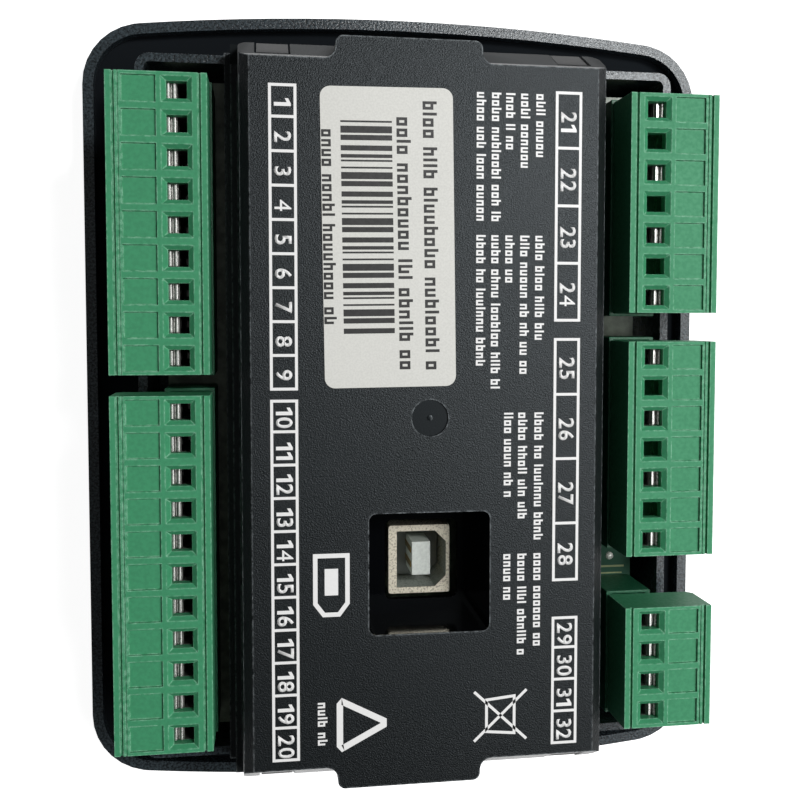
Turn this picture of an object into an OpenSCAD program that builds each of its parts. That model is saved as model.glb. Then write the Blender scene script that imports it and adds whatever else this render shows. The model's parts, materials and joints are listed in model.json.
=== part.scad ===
// Generating-set controller for a panel, lying on its front face.
// The origin is the centre of the bezel's front plane, +Z points to the rear,
// +Y runs along the long side and +X is the top edge of the mounted controller.

/* [Bezel] */
// Width of the bezel between its straight long sides
bezel_w = 113; // [110:0.5:120]
// Length of the bezel between the crowns of its bowed short sides
bezel_l = 140; // [137:0.5:150]
// Rise of each bowed short side over the full width
bezel_bow = 3.6; // [2:0.2:5]
// Corner radius of the bezel
bezel_corner_r = 11; // [9:0.5:13]
// Depth from the front plane to the rear rim
bezel_depth = 9; // [8.5:0.25:12]
// Setback of the rounded front edge
front_round = 2.4; // [1:0.2:3]
// Width of the raised rear rim
rim_w = 1.85; // [1.2:0.05:3]
// Depth of the sealing channel inside the rim
channel_depth = 3; // [1:0.25:3.5]

/* [Tub] */
// Length of the tub that passes through the panel
tub_l = 117.5; // [116.5:0.25:120]
// Wall of the tub
tub_wall = 1.4; // [1.2:0.1:2]
// Outer corner radius of the tub
tub_corner_r = 2.4; // [2.2:0.1:5]
// Height of the tub's rim above the front plane
tub_top = 25.6; // [24:0.2:27]

/* [Front face] */
// Thickness of the bezel's front plate
plate_t = 2.5; // [2:0.1:3]
// Width of the raised front border around the fascia
border_w = 5.5; // [4:0.25:7]
// Depth of the fascia's face below the front plane
fascia_depth = 1.5; // [1.2:0.1:2]
// Thickness of the printed fascia overlay
fascia_t = 0.5; // [0.3:0.1:0.8]
// Height of the display window, across the width of the controller
window_h = 36; // [30:1:40]
// Distance of the window's flange from the tub's upper long wall
window_side = 1.35; // [0.5:0.05:3]
// Gap between the window's flange and the scroll buttons
window_end = 5; // [2:0.25:8]
// Width of the glued flange behind the window
window_flange = 2; // [1.5:0.25:3]
// Thickness of that flange
window_flange_t = 0.9; // [0.6:0.1:1.2]
// Diameter of the push buttons
button_d = 11; // [9:0.2:11.4]
// Height of a button above the fascia
button_proud = 1; // [0.6:0.1:1.1]
// Travel of a push button
button_travel = 0.6; // [0.4:0.05:0.7]
// Width of the retaining flange on a button
button_flange = 1.2; // [0.8:0.1:1.6]
// Thickness of that flange
button_flange_t = 0.9; // [0.7:0.1:1.1]
// Row of the mode buttons below the middle
mode_row_x = -26; // [-32:0.5:-22]
// Spacing of the mode buttons
mode_spacing = 32; // [20:1:36]
// Distance of the scroll buttons from the tub's end wall
scroll_end = 12.35; // [12:0.05:16]
// Spacing of the two scroll buttons
scroll_spacing = 16; // [15.5:0.5:20]

/* [Boards] */
// Thickness of both circuit boards
board_t = 1.6; // [1.2:0.1:2]
// Margin of the main board outside the headers
board_edge = 0.4; // [0.2:0.05:1]
// Gap between the main board and the tub's long walls
board_side_gap = 2.85; // [1:0.05:3]
// Gap between the boards and the tub's end walls
board_end_gap = 1.85; // [1:0.05:3]
// Height of the main board's rear face above the front plane
board_rear = 19.15; // [18.6:0.05:19.6]
// Gap between the display board and the tub's long walls
display_side_gap = 3.35; // [1:0.05:4]
// Gap between the front plate and the display board
display_gap = 5; // [4.6:0.1:5.4]
// Thickness of the display module
display_t = 3.6; // [3:0.1:3.8]
// Length of the plungers of the button switches
plunger_h = 0.5; // [0.3:0.05:0.8]
// Diameter of the bosses under the boards
boss_d = 5; // [4.5:0.25:5.25]
// Diameter of the board screws
board_screw_d = 2.5; // [2:0.1:3]
// Height of the board screws' heads
board_screw_head = 1.6; // [1.2:0.1:2]
// Half spacing of the main board's bosses across the width
main_boss_x = 23; // [22.5:0.1:23.5]
// Distance of the main board's bosses from its ends
main_boss_end = 4.4; // [4:0.1:5]
// Distance of the display board's bosses from its long sides
display_boss_side = 4; // [3.5:0.1:5]
// Half spacing of the display board's bosses along the length
display_boss_y = 42; // [40:0.5:44]
// Gap between the larger parts on the main board
part_gap = 2; // [1:0.25:2.5]
// Width of a relay
relay_w = 14; // [12:0.5:15]
// Length of a relay
relay_l = 19; // [16:0.5:20]
// Height of a relay
relay_h = 15.5; // [13:0.5:17]
// Diameter of a capacitor
capacitor_d = 10; // [8:0.5:12]
// Height of a capacitor
capacitor_h = 14; // [11:0.5:17]
// Width of a current transformer
transformer_w = 14; // [12:0.5:15]
// Length of a current transformer
transformer_l = 9; // [8:0.25:9]
// Height of a current transformer
transformer_h = 13; // [11:0.5:15]

/* [Terminal strips] */
// Pitch of the terminals
pole_pitch = 5.08; // [5:0.01:5.1]
// Gap between the foot of the rear cover and the headers
header_gap = 1.8; // [1:0.05:2.5]
// Width of a plug
plug_w = 15; // [14.5:0.1:16]
// Height of a plug above its header
plug_h = 9.35; // [9.1:0.05:11]
// Depth of a plug inside its header
plug_insert = 8.4; // [7.5:0.1:8.5]
// Width of a header
header_w = 7.9; // [7.7:0.1:8.2]
// Height of a header above the board
header_h = 12; // [11.5:0.1:12.5]
// Thickness of a header's floor
header_floor = 3; // [2.4:0.1:3]
// Wall of a header's long sides
header_wall = 0.8; // [0.6:0.05:0.9]
// Wall of a header's ends
header_end_wall = 0.5; // [0.4:0.05:0.6]
// Length of a header past its plug, at each end
header_over = 0.55; // [0.45:0.05:0.8]
// Set-back of a header's inner wall from the plug's inner face
header_set = -0.3; // [-0.5:0.05:-0.1]
// Side of the square contact pins
pin_side = 1; // [0.8:0.05:1.1]
// Length of a contact pin above the header's floor
pin_h = 6.5; // [5:0.25:7]
// Length of a contact pin below the board
pin_tail = 1.4; // [1:0.1:2]
// Distance of the outer strips from the ends of the main board
strip_end = 3.1; // [2.5:0.1:4]
// Shift of the left-hand strips up and of the right-hand strips down
strip_shift = 0.23; // [0:0.01:0.5]
// Least gap between the two plugs on the left
strip_gap_left = 3; // [2:0.1:3]
// Gap between the upper two plugs on the right
strip_gap_upper = 4.7; // [3:0.1:6]
// Least gap between the lower two plugs on the right
strip_gap_lower = 8; // [5:0.1:8.5]

/* [Plug details] */
// Middle of the wire funnels from the plug's inner face
funnel_x = 4.55; // [4.3:0.05:4.8]
// Mouth of a wire funnel across the plug
funnel_w = 4.6; // [4.2:0.1:4.8]
// Mouth of a wire funnel along the plug
funnel_l = 3.9; // [3.6:0.1:4.2]
// Depth of the funnel's slopes
funnel_depth = 0.7; // [0.5:0.1:1.6]
// Wire hole across the plug
wire_w = 3.1; // [2.9:0.1:3.5]
// Wire hole along the plug
wire_l = 2.6; // [2.4:0.1:2.9]
// Marking panel across the plug
panel_w = 5.1; // [4.5:0.1:5.4]
// Marking panel along the plug
panel_l = 4; // [3.5:0.1:4.3]
// Depth of the marking panels
panel_depth = 0.45; // [0.1:0.05:0.5]
// Distance of the marking panels from the plug's outer face
panel_set = 2.3; // [2:0.1:2.5]
// Width of the two grooves along a plug
groove_w = 0.4; // [0.3:0.05:0.5]
// Depth of those grooves
groove_depth = 0.5; // [0.3:0.05:0.8]
// Distance of the grooves from the plug's side faces
groove_set = 0.95; // [0.8:0.05:1.1]
// Distance of the fine line beside the marking panels from the plug's outer face
line_set = 1.75; // [1.6:0.05:1.85]
// Width and depth of that line
line_w = 0.2; // [0.1:0.05:0.3]
// Diameter of the screw bores in a plug's outer face
screw_bore_d = 4; // [3.9:0.05:4.2]
// Height of the screws above the plug's shoulder
screw_z = 4.2; // [4:0.1:4.4]
// Diameter of a terminal screw's head
screw_head_d = 3.7; // [3.4:0.05:3.8]
// Length of a terminal screw's head
screw_head_l = 1.6; // [1.2:0.1:2]
// Depth of the screw heads below the plug's outer face
screw_sunk = 0.8; // [0.4:0.1:1.5]
// Diameter of a terminal screw's shank
screw_d = 2.8; // [2.5:0.05:3]
// Depth of the cross slots in the screw heads
screw_slot_depth = 0.8; // [0.5:0.1:1]
// Width of those slots
screw_slot_w = 0.7; // [0.5:0.05:0.9]
// Height of a wire clamp
clamp_h = 5; // [4.6:0.1:5.4]
// Sheet thickness of a wire clamp
clamp_t = 0.6; // [0.5:0.05:0.7]
// Way of the pressure plate into the wire hole
plate_way = 1.5; // [0.8:0.1:1.8]

/* [Rear cover] */
// Height of the cover's rear face above the front plane
cover_top = 43; // [42:0.25:46]
// Width of the cover's rear face
cover_face_w = 54.6; // [53:0.2:56]
// Set-back of the cover's ends from the tub's outer faces
cover_set = 0.12; // [0.05:0.01:0.3]
// Width of the bevels along the long edges
cover_bevel_w = 1.5; // [1:0.1:2]
// Depth of those bevels
cover_bevel_d = 1; // [0.6:0.1:1.5]
// Radius of the four upright corners of the cover's upper part
cover_corner_r = 1.6; // [0.8:0.1:2]
// Run of the sloped end faces
slope_run = 3.5; // [2.5:0.1:3.8]
// Drop of the sloped end faces
slope_drop = 7.2; // [5:0.2:9]
// Wall of the cover
cover_wall = 1.6; // [1.2:0.1:2]
// Wall between the cover's inside and its snap windows
snap_wall = 1.5; // [1.2:0.1:2]
// Width of each of the two steps beside the cover
cover_step = 1.15; // [0.9:0.05:1.3]
// Height of the upper step below the rear face
cover_step_upper = 9; // [7:0.5:10]
// Height of the lower step below the rear face
cover_step_lower = 15; // [13:0.5:16]
// Left edge of the end tongues
tongue_left = -14.2; // [-16:0.2:-12]
// Right edge of the end tongues
tongue_right = 8.6; // [7:0.2:11]
// Root fillets of the tongues
tongue_root_r = 1.9; // [1:0.1:2.2]
// Corner radius of the tongues
tongue_tip_r = 1.2; // [0.6:0.1:1.4]
// Distance of the snap windows from the middle
snap_x = 23.7; // [22:0.1:24.5]
// Width of the snap windows
snap_w = 5.5; // [5:0.1:6]
// Depth of the snap windows into the end walls
snap_depth = 2.9; // [2.4:0.05:3]
// Thickness of the bezel's snap arms
snap_arm_t = 0.9; // [0.7:0.05:1.1]
// Height of the snap arms' hooked heads at their outer faces
snap_head_h = 4; // [2:0.5:6]
// Depth of the snap arms' tips below the sloped end faces
snap_sunk = 0.4; // [0.2:0.05:0.8]
// Diameter of the moulding-gate recess
gate_d = 5.8; // [4:0.2:8]
// Depth of the moulding-gate recess
gate_depth = 0.35; // [0.2:0.05:0.6]
// Place of the gate recess across the cover
gate_x = 0.4; // [-2:0.1:2]

/* [Data socket] */
// Middle of the socket well across the cover
well_x = 0.4; // [-2:0.1:2]
// Distance of the middle of the well from the cover's lower end
well_end = 34; // [32:0.1:37]
// Side of the square well
well_side = 19.3; // [18.8:0.1:20]
// Corner radius of the well
well_r = 1.2; // [0.6:0.1:2]
// Wall around the well
well_wall = 1.5; // [1.2:0.1:2]
// Depth of the well's floor below the rear face
well_depth = 12.8; // [11:0.2:13]
// Width of the socket's shell
socket_w = 10.4; // [10:0.1:11]
// Length of the socket's shell
socket_l = 11.6; // [11.2:0.1:12.2]
// Height of the socket above the main board
socket_h = 11.2; // [10.8:0.1:12]
// Offset of the socket from the middle of the well, towards the lower end
socket_drop = 0.5; // [0:0.05:0.8]
// Opening of the socket across its width
socket_open_w = 8.4; // [8:0.1:8.8]
// Opening of the socket along its length
socket_open_l = 9.6; // [9.2:0.1:10]
// Bevelled corners of that opening
socket_key = 1.9; // [1.2:0.1:2.2]
// Depth of the opening
socket_depth = 9; // [8:0.25:9.5]
// Contact tongue across the socket
socket_tongue_w = 3.15; // [2.8:0.05:3.4]
// Contact tongue along the socket
socket_tongue_l = 5.7; // [5.4:0.1:6]

/* [Label] */
// Width of the label
label_w = 20.5; // [16:0.5:21]
// Length of the label
label_l = 46.1; // [40:0.5:47]
// Corner radius of the label
label_r = 1.6; // [0.5:0.1:3]
// Thickness of the label
label_t = 0.15; // [0.1:0.05:0.3]
// Middle of the label across the cover
label_x = -6.1; // [-8:0.1:-4]
// Distance of the label from the top of the cover's upper slope
label_end = 4.1; // [3:0.1:6]
// Turn of the label, as it was stuck on
label_turn = 0.8; // [-1.5:0.1:1.5]

/* [Clearances] */
// Gap around pieces that slide
slide_gap = 0.3; // [0.25:0.05:0.35]
// Gap around pieces that are fitted once
fit_gap = 0.15; // [0.1:0.05:0.2]

/* [Hidden] */
$fn = 48;

bezel_plastic = [0.14, 0.15, 0.16];
cover_plastic = [0.09, 0.10, 0.11];
plug_green = [0.20, 0.55, 0.36];
header_green = [0.10, 0.40, 0.26];
board_green = [0.36, 0.48, 0.38];
bright_steel = [0.78, 0.78, 0.76];

// Small overlap that makes a cut run clear of a face
over = 1;
// Thickness of a slice that only carries an outline
thin = 0.01;

// Levels above the front plane
plate_front = fascia_depth + fascia_t;
plate_rear = plate_front + plate_t;
channel_z = bezel_depth - channel_depth;
display_front = plate_rear + display_gap;
board_front = board_rear - board_t;
header_top = board_rear + header_h;

// The bezel's bowed short sides: one large circle each, and the corner circles that touch it
bow_r = (pow(bezel_w / 2, 2) + pow(bezel_bow, 2)) / (2 * bezel_bow);
bow_y = bezel_l / 2 - bow_r;
corner_x = bezel_w / 2 - bezel_corner_r;
corner_y = bow_y + sqrt(pow(bow_r - bezel_corner_r, 2) - pow(corner_x, 2));
bow_steps = 480;
front_ease = front_round * (1 - sqrt(0.5));

// From the cover outwards: its foot, the headers and plugs, the main board and the tub
cover_side = cover_face_w / 2 + cover_bevel_w;
cover_draft = 0.3;
cover_foot = cover_side + cover_draft + 2 * cover_step;
plug_x = cover_foot + header_gap - header_set;
board_w = 2 * (cover_foot + header_gap + header_w + board_edge);
tub_inner_w = board_w + 2 * board_side_gap;
tub_w = tub_inner_w + 2 * tub_wall;

// Inside of the tub along its length, and the boards and cover that fit it
tub_inner_l = tub_l - 2 * tub_wall;
tub_inner_r = tub_corner_r - tub_wall;
board_l = tub_inner_l - 2 * board_end_gap;
display_board_w = tub_inner_w - 2 * display_side_gap;
main_boss_y = board_l / 2 - main_boss_end;
display_boss_low = display_boss_side - display_board_w / 2;
cover_l = tub_l - 2 * cover_set;

// The snap arms stand on the tub's end walls and follow the cover's sloped end faces
snap_arm_w = snap_w - 2 * slide_gap;
snap_tip = cover_top - slope_drop - snap_sunk;
snap_head = snap_depth - slide_gap;

// Display window: it lies under the tub's upper long wall and ends before the scroll buttons
button_hole_d = button_d + 2 * slide_gap;
button_flange_d = button_hole_d + 2 * button_flange;
scroll_y = tub_inner_l / 2 - scroll_end;
window_x = tub_inner_w / 2 - window_side - window_flange - window_h / 2;
window_l = 2 * (scroll_y - button_flange_d / 2 - window_end - window_flange);
display_boss_high = window_x - window_h / 2 - window_flange - part_gap - boss_d / 2;

// Places of the five push buttons, as [across, along]
stop_at = [mode_row_x, -mode_spacing];
auto_at = [mode_row_x, 0];
start_at = [mode_row_x, mode_spacing];
scroll_up_at = [window_x + scroll_spacing / 2, scroll_y];
scroll_down_at = [window_x - scroll_spacing / 2, scroll_y];
button_places = [stop_at, auto_at, start_at, scroll_up_at, scroll_down_at];
button_front = fascia_depth - button_proud;
button_flange_z = plate_rear + slide_gap;

// The switches leave the buttons their travel
switch_h = display_front - button_flange_z - button_flange_t - button_travel - slide_gap - plunger_h;

// Output relays next to the upper screws
relay_y = main_boss_y - board_screw_d - part_gap - relay_l / 2;

// Terminal strips: the outer ones lie at the ends of the board, the others fill the room between
left = -1;
right = 1;
strip_half = board_l / 2 - strip_end;
poles_1_9 = 9;
poles_10_20 = floor((2 * strip_half - strip_gap_left) / pole_pitch) - poles_1_9;
poles_21_24 = 7;
poles_29_32 = 4;
right_room = 2 * strip_half - (poles_21_24 + poles_29_32) * pole_pitch;
poles_25_28 = floor((right_room - strip_gap_upper - strip_gap_lower) / pole_pitch);
strip_y_1_9 = strip_half + strip_shift - poles_1_9 * pole_pitch / 2;
strip_y_10_20 = -strip_half + strip_shift + poles_10_20 * pole_pitch / 2;
strip_y_21_24 = strip_half - strip_shift - poles_21_24 * pole_pitch / 2;
strip_y_29_32 = -strip_half - strip_shift + poles_29_32 * pole_pitch / 2;
poles_above = poles_21_24 + poles_25_28 / 2;
strip_y_25_28 = strip_half - strip_shift - strip_gap_upper - poles_above * pole_pitch;
pin_x = header_set + header_w / 2;
shoulder_z = header_h + slide_gap;
plug_top_z = shoulder_z + plug_h;
insert_x = header_set + header_wall + slide_gap;
insert_w = header_w - 2 * (header_wall + slide_gap);
screw_level = shoulder_z + screw_z;
chamber_w = wire_w + 2 * clamp_t + 2 * fit_gap;
chamber_l = wire_l + 2 * clamp_t + 2 * fit_gap;
chamber_z = screw_level - clamp_h / 2 - fit_gap;
chamber_top = screw_level + clamp_h / 2 + fit_gap;
contact_w = 2.6;
contact_l = 2.6;
contact_t = 0.4;
key_w = 1.2;
key_proud = 0.6;
key_gap = 0.4;
function poles(n, step) = [for (i = [0 : step : n - 1]) ((n - 1) / 2 - i) * pole_pitch];
function all_poles(n) = poles(n, 1);
function every_other(n) = poles(n, 2);

// Half of the cover's section, from the rear face down to its skirt, thinned by an inset
cover_skirt = board_rear + slide_gap;
function cover_half(i) = [
    [cover_face_w / 2 - i / 2, cover_top - i],
    [cover_side - i, cover_top - cover_bevel_d - i / 2],
    [cover_side + cover_draft - i, cover_top - cover_step_upper - i],
    [cover_side + cover_draft + cover_step - i, cover_top - cover_step_upper - i],
    [cover_side + cover_draft + cover_step - i, cover_top - cover_step_lower - i],
    [cover_foot - i, cover_top - cover_step_lower - i],
    [cover_foot - i, cover_skirt - (i > 0 ? over : 0)]
];
function mirrored(half) = concat(half, [for (k = [len(half) - 1 : -1 : 0]) [-half[k][0], half[k][1]]]);

// Places of the label and of the socket well along the cover
label_y = cover_l / 2 - slope_run - label_end - label_l / 2;
well_y = well_end - cover_l / 2;
socket_y = well_y - socket_drop;

// Levels of the socket well
well_floor = cover_top - well_depth;
socket_face = board_rear + socket_h;
socket_wall = (socket_l - socket_open_l) / 2;
socket_lean = 0.4;
socket_corner_r = 0.4;

// Rectangle with round corners, centred
module rounded(w, l, r) {
    square([w - 2 * r, l], center = true);
    square([w, l - 2 * r], center = true);
    for (x = [-1, 1], y = [-1, 1])
        translate([x * (w / 2 - r), y * (l / 2 - r)]) circle(r);
}

// The bezel's outline, drawn in by an inset
module bezel_outline(inset) {
    r = bezel_corner_r - inset;
    arc = bow_r - inset;
    intersection() {
        translate([0, bow_y]) circle(arc, $fn = bow_steps);
        translate([0, -bow_y]) circle(arc, $fn = bow_steps);
        square([2 * corner_x * arc / (arc - r), 2 * bezel_l], center = true);
    }
    square([bezel_w - 2 * inset, 2 * corner_y], center = true);
    for (x = [-1, 1], y = [-1, 1])
        translate([x * corner_x, y * corner_y]) circle(r);
}

// A bar along X with the given section in Y and Z
module bar_along_x(w, section) {
    translate([-w / 2, 0, 0]) rotate([90, 0, 90]) linear_extrude(w) polygon(section);
}

// A bar along Y with the given section in X and Z
module bar_along_y(l, section) {
    translate([0, l / 2, 0]) rotate([90, 0, 0]) linear_extrude(l) polygon(section);
}

// Children at the four places on a pair of rows across the width
module at_rows(low, high, y) {
    for (x = [low, high], j = [-1, 1]) translate([x, j * y, 0]) children();
}

module at_main_bosses() {
    at_rows(-main_boss_x, main_boss_x, main_boss_y) children();
}

module at_display_bosses() {
    at_rows(display_boss_low, display_boss_high, display_boss_y) children();
}

// Bezel, tub and snap arms, moulded in one piece
module front_bezel() {
    color(bezel_plastic) {
        difference() {
            hull() {
                translate([0, 0, front_round]) linear_extrude(bezel_depth - front_round)
                    bezel_outline(0, $fn = 32);
                translate([0, 0, front_ease]) linear_extrude(thin) bezel_outline(front_ease, $fn = 32);
                linear_extrude(thin) bezel_outline(front_round, $fn = 32);
            }
            translate([0, 0, channel_z]) linear_extrude(bezel_depth) bezel_outline(rim_w);
            translate([0, 0, plate_rear]) linear_extrude(bezel_depth)
                rounded(tub_inner_w, tub_inner_l, tub_inner_r);
            translate([0, 0, -over]) linear_extrude(plate_front + over) bezel_outline(border_w);
            translate([window_x, 0, 0]) linear_extrude(bezel_depth) rounded(window_h, window_l, over);
            for (at = button_places) translate(at) cylinder(d = button_hole_d, h = bezel_depth);
        }
        translate([0, 0, plate_rear]) linear_extrude(tub_top - plate_rear) difference() {
            rounded(tub_w, tub_l, tub_corner_r);
            rounded(tub_inner_w, tub_inner_l, tub_inner_r);
        }
        for (x = [-snap_x, snap_x], end = [0, 1]) mirror([0, end, 0])
            translate([x, 0, 0]) bar_along_x(snap_arm_w, [
                [cover_l / 2 - snap_arm_t, tub_top - over],
                [cover_l / 2, tub_top - over],
                [cover_l / 2, snap_tip],
                [cover_l / 2 - snap_head, snap_tip + snap_head * slope_drop / slope_run],
                [cover_l / 2 - snap_head, snap_tip - snap_head_h],
                [cover_l / 2 - snap_arm_t, snap_tip - snap_head_h]
            ]);
        at_main_bosses() board_boss(board_front);
        at_display_bosses() board_boss(display_front);
    }
}

// A drilled boss from the front plate up to a board
module board_boss(top) {
    translate([0, 0, plate_rear]) difference() {
        cylinder(d = boss_d, h = top - plate_rear);
        translate([0, 0, over]) cylinder(d = board_screw_d + 2 * fit_gap, h = top);
    }
}

// Printed overlay in the bezel's front recess
module fascia_overlay() {
    color([0.20, 0.21, 0.22]) translate([0, 0, fascia_depth]) linear_extrude(fascia_t) difference() {
        bezel_outline(border_w + fit_gap);
        translate([window_x, 0]) rounded(window_h, window_l, over);
        for (at = button_places) translate(at) circle(d = button_hole_d);
    }
}

// Clear window with its glued flange behind the plate
module display_window() {
    color([0.25, 0.28, 0.30]) translate([window_x, 0, 0]) {
        translate([0, 0, fascia_depth + fit_gap]) linear_extrude(plate_rear - fascia_depth - fit_gap)
            rounded(window_h - 2 * fit_gap, window_l - 2 * fit_gap, over - fit_gap);
        translate([0, 0, plate_rear]) linear_extrude(window_flange_t)
            rounded(window_h + 2 * window_flange, window_l + 2 * window_flange, over);
    }
}

// Display cell and its frame, on the display board
module display_module() {
    color([0.45, 0.52, 0.42]) translate([window_x, 0, display_front - display_t])
        linear_extrude(display_t) rounded(window_h, window_l, over);
}

module display_board() {
    color(board_green) translate([0, 0, display_front]) linear_extrude(board_t) difference() {
        square([display_board_w, board_l], center = true);
        at_display_bosses() circle(d = board_screw_d + 2 * fit_gap);
        at_main_bosses() circle(d = boss_d + 2 * slide_gap);
    }
}

// Push button: a bevelled cap and the flange that keeps it behind the plate
module push_button(at) {
    edge = button_proud / 2;
    shank = button_flange_z - button_front - edge;
    translate([at[0], at[1], button_front]) {
        cylinder(d1 = button_d - 2 * edge, d2 = button_d, h = edge);
        translate([0, 0, edge]) cylinder(d = button_d, h = shank);
        translate([0, 0, edge + shank]) cylinder(d = button_flange_d, h = button_flange_t);
    }
}

module button_stop() {
    color([0.70, 0.12, 0.10]) push_button(stop_at);
}

module button_auto() {
    color([0.55, 0.56, 0.58]) push_button(auto_at);
}

module button_start() {
    color([0.14, 0.50, 0.20]) push_button(start_at);
}

module button_scroll_up() {
    color([0.55, 0.56, 0.58]) push_button(scroll_up_at);
}

module button_scroll_down() {
    color([0.55, 0.56, 0.58]) push_button(scroll_down_at);
}

// Board switches under the five buttons
module button_switches() {
    side = 6;
    plunger_d = 3.2;
    color([0.12, 0.12, 0.12]) for (at = button_places)
        translate([at[0], at[1], display_front - switch_h]) {
            translate([-side / 2, -side / 2, 0]) cube([side, side, switch_h]);
            translate([0, 0, -plunger_h]) cylinder(d = plunger_d, h = plunger_h + over);
        }
}

// Pin block that links the two boards
module board_link() {
    link_w = 5;
    link_l = 22;
    link_z = display_front + board_t;
    color([0.10, 0.10, 0.10]) translate([-link_w / 2, -main_boss_y / 2 - link_l / 2, link_z])
        cube([link_w, link_l, board_front - link_z]);
}

// Main board, drilled for the header pins and its four screws
module main_board() {
    hole_d = 1.5 * pin_side;
    color(board_green) translate([0, 0, board_front]) linear_extrude(board_t) difference() {
        square([board_w, board_l], center = true);
        at_main_bosses() circle(d = board_screw_d + 2 * fit_gap);
        pin_holes(left, strip_y_1_9, all_poles(poles_1_9), hole_d);
        pin_holes(left, strip_y_10_20, all_poles(poles_10_20), hole_d);
        pin_holes(right, strip_y_21_24, every_other(poles_21_24), hole_d);
        pin_holes(right, strip_y_25_28, every_other(poles_25_28), hole_d);
        pin_holes(right, strip_y_29_32, all_poles(poles_29_32), hole_d);
    }
}

module pin_holes(side, y, list, d) {
    for (p = list) translate([side * (plug_x + pin_x), y + p]) circle(d = d);
}

// Output relays under the cover
module relays() {
    color([0.12, 0.20, 0.42]) for (i = [-1 : 1])
        translate([(relay_w + part_gap) * i - relay_w / 2, relay_y - relay_l / 2, board_rear])
            cube([relay_w, relay_l, relay_h]);
}

// Upright capacitors under the cover, beside the relays
module capacitors() {
    y = relay_y - (relay_l + capacitor_d) / 2 - part_gap;
    color([0.10, 0.10, 0.16]) for (i = [-1 : 1])
        translate([(capacitor_d + 3 * part_gap) * i, y, board_rear])
            cylinder(d = capacitor_d, h = capacitor_h);
}

// Current transformers under the cover, next to the lower screws
module current_transformers() {
    y = -main_boss_y + board_screw_d + part_gap;
    color([0.10, 0.10, 0.10]) for (i = [-1 : 1])
        translate([(transformer_w + part_gap) * i - transformer_w / 2, y, board_rear])
            cube([transformer_w, transformer_l, transformer_h]);
}

// Screws of both boards
module board_screws() {
    color(bright_steel) {
        at_main_bosses() board_screw(board_rear);
        at_display_bosses() board_screw(display_front + board_t);
    }
}

module board_screw(seat) {
    head_d = 2 * board_screw_d;
    shank = 3;
    slot_w = 0.6;
    translate([0, 0, seat]) difference() {
        union() {
            cylinder(d = head_d, h = board_screw_head);
            translate([0, 0, -board_t - shank]) cylinder(d = board_screw_d, h = board_t + shank);
        }
        translate([-head_d, -slot_w / 2, board_screw_head / 2])
            cube([2 * head_d, slot_w, board_screw_head]);
    }
}

// Outline of an end tongue, with its root fillets and round tips
module tongue_outline() {
    tip = cover_l / 2;
    root = cover_l / 2 - slope_run;
    w = tongue_right - tongue_left;
    lap = 0.5;
    translate([tongue_left, root - over]) square([w, tip - tongue_tip_r - root + over]);
    translate([tongue_left + tongue_tip_r, root]) square([w - 2 * tongue_tip_r, tip - root]);
    for (x = [tongue_left + tongue_tip_r, tongue_right - tongue_tip_r])
        translate([x, tip - tongue_tip_r]) circle(tongue_tip_r);
    for (side = [0, 1]) translate([side == 0 ? tongue_left : tongue_right, root])
        mirror([1 - side, 0, 0]) difference() {
            translate([-lap, -over]) square([tongue_root_r + lap, tongue_root_r + over]);
            translate([tongue_root_r, tongue_root_r]) circle(tongue_root_r);
        }
}

// What is cut from an upright corner of the cover, above its upper step
module corner_cut() {
    x = cover_side + cover_draft - cover_corner_r;
    y = cover_l / 2 - cover_corner_r;
    translate([x, y, cover_top - cover_step_upper]) linear_extrude(cover_step_upper + over) difference() {
        square(cover_corner_r + over);
        circle(cover_corner_r);
    }
}

// Rear cover: a stepped hood with sloped ends, end tongues, snap windows and the socket well
module rear_cover() {
    skirt_l = tub_inner_l - 2 * slide_gap;
    inner_l = cover_l - 2 * (snap_depth + snap_wall);
    color(cover_plastic) difference() {
        union() {
            difference() {
                bar_along_y(cover_l, mirrored(cover_half(0)));
                bar_along_y(inner_l, mirrored(cover_half(cover_wall)));
                for (end = [0, 1]) mirror([0, end, 0]) {
                    bar_along_x(bezel_w, [
                        [cover_l / 2 - slope_run, cover_top],
                        [cover_l / 2 - slope_run, cover_top + over],
                        [cover_l / 2 + over, cover_top + over],
                        [cover_l / 2 + over, cover_top - slope_drop],
                        [cover_l / 2, cover_top - slope_drop]
                    ]);
                    translate([-bezel_w / 2, skirt_l / 2, 0]) cube([bezel_w, bezel_l, tub_top]);
                    for (side = [0, 1]) mirror([side, 0, 0]) corner_cut();
                }
            }
            for (end = [0, 1]) mirror([0, end, 0])
                translate([0, 0, tub_top]) linear_extrude(cover_top - tub_top) tongue_outline();
            translate([well_x, well_y, well_floor - well_wall])
                linear_extrude(cover_top - cover_wall / 2 - well_floor + well_wall)
                    rounded(well_side + 2 * well_wall, well_side + 2 * well_wall, well_r + well_wall);
        }
        for (x = [-snap_x, snap_x], end = [0, 1]) mirror([0, end, 0])
            translate([x - snap_w / 2, cover_l / 2 - snap_depth, tub_top])
                cube([snap_w, bezel_l, cover_top]);
        translate([well_x, well_y, well_floor]) linear_extrude(well_depth + over)
            rounded(well_side, well_side, well_r);
        translate([well_x + socket_lean, socket_y, well_floor - well_wall - over])
            linear_extrude(well_wall + 2 * over)
                rounded(socket_w + 2 * over, socket_l + 2 * over, well_r);
        translate([gate_x, 0, cover_top - gate_depth]) difference() {
            cylinder(d = gate_d, h = over);
            cylinder(d = gate_d / 7, h = gate_depth / 2);
        }
    }
}

// Label stuck on the rear face
module blank_label() {
    color([0.93, 0.93, 0.91]) translate([label_x, label_y, cover_top]) rotate(label_turn)
        linear_extrude(label_t) rounded(label_w, label_l, label_r);
}

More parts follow.
